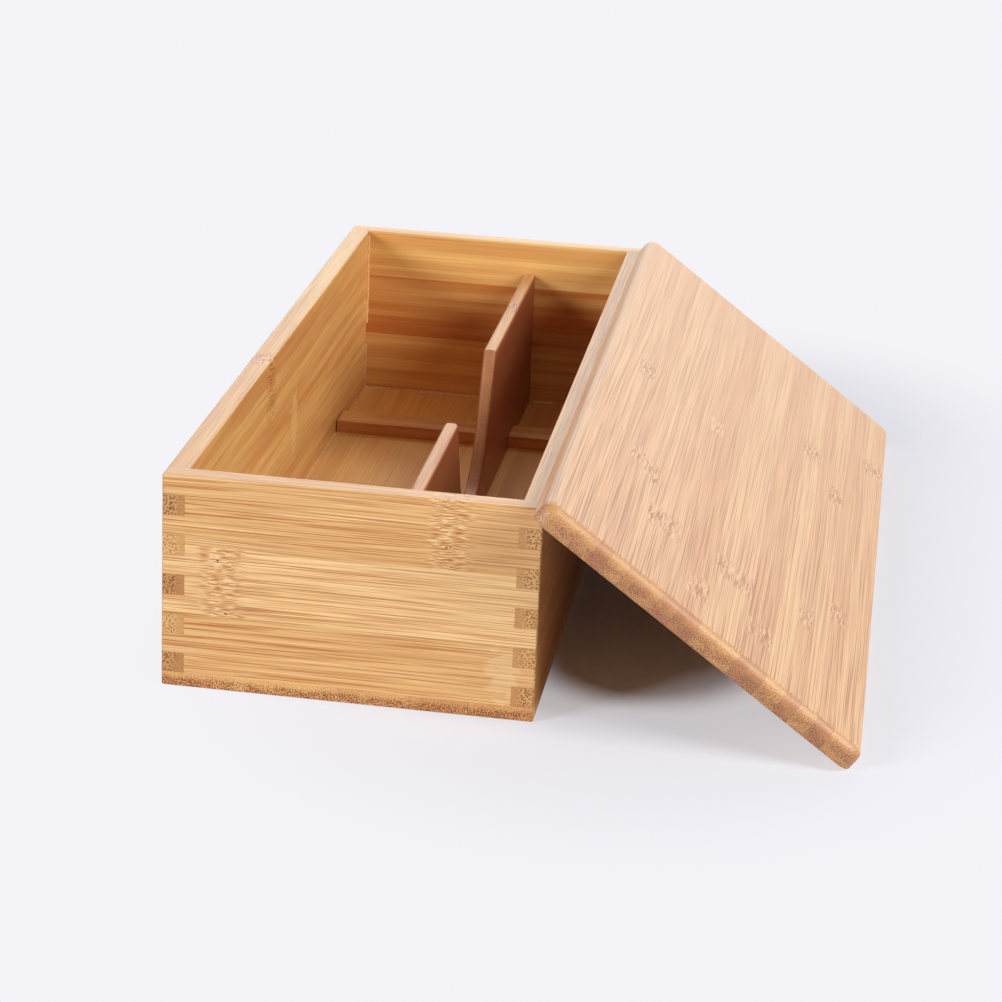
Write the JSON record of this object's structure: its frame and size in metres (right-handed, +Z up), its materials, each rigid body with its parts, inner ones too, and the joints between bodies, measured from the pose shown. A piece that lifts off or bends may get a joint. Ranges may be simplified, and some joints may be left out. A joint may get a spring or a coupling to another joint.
{
  "type": "cutlery storage box",
  "caption": "Long bamboo cutlery box with finger-jointed corners, a scooped divider on cross bars and a loose round-edged lid leaning against its side.",
  "frame": {"origin": "middle of the underside of the box itself, on the table; the leaning lid is left out of that middle", "axes": "+Z up; +Y along the long side, away from the short end that faces the viewer; +X towards the long wall on which the lid leans"},
  "size_m": [0.2133, 0.3079, 0.0748],
  "materials": {
    "wall_bamboo": "satin lacquered laminated bamboo, grain along each wall",
    "board_bamboo": "satin lacquered thin bamboo board, grain along the box",
    "divider_bamboo": "satin lacquered thin bamboo board, grain along the box",
    "lid_bamboo": "satin lacquered laminated bamboo, grain along the lid"
  },
  "bodies": {
    "box": {"front_wall": "wall_bamboo", "back_wall": "wall_bamboo", "left_wall": "wall_bamboo", "right_wall": "wall_bamboo", "bottom_board": "board_bamboo"},
    "divider_frame": {"divider": "divider_bamboo", "crossbar_front": "board_bamboo", "crossbar_back": "board_bamboo"},
    "lid": {"lid_board": "lid_bamboo", "lid_batten_front": "board_bamboo", "lid_batten_back": "board_bamboo"}
  },
  "joints": [
    {"name": "lid_lift", "type": "slide", "parent": "box", "child": "lid", "axis": [0, 0, 1], "range_m": [0, 0.1]},
    {"name": "divider_lift", "type": "slide", "parent": "box", "child": "divider_frame", "axis": [0, 0, 1], "range_m": [0, 0.075]}
  ]
}
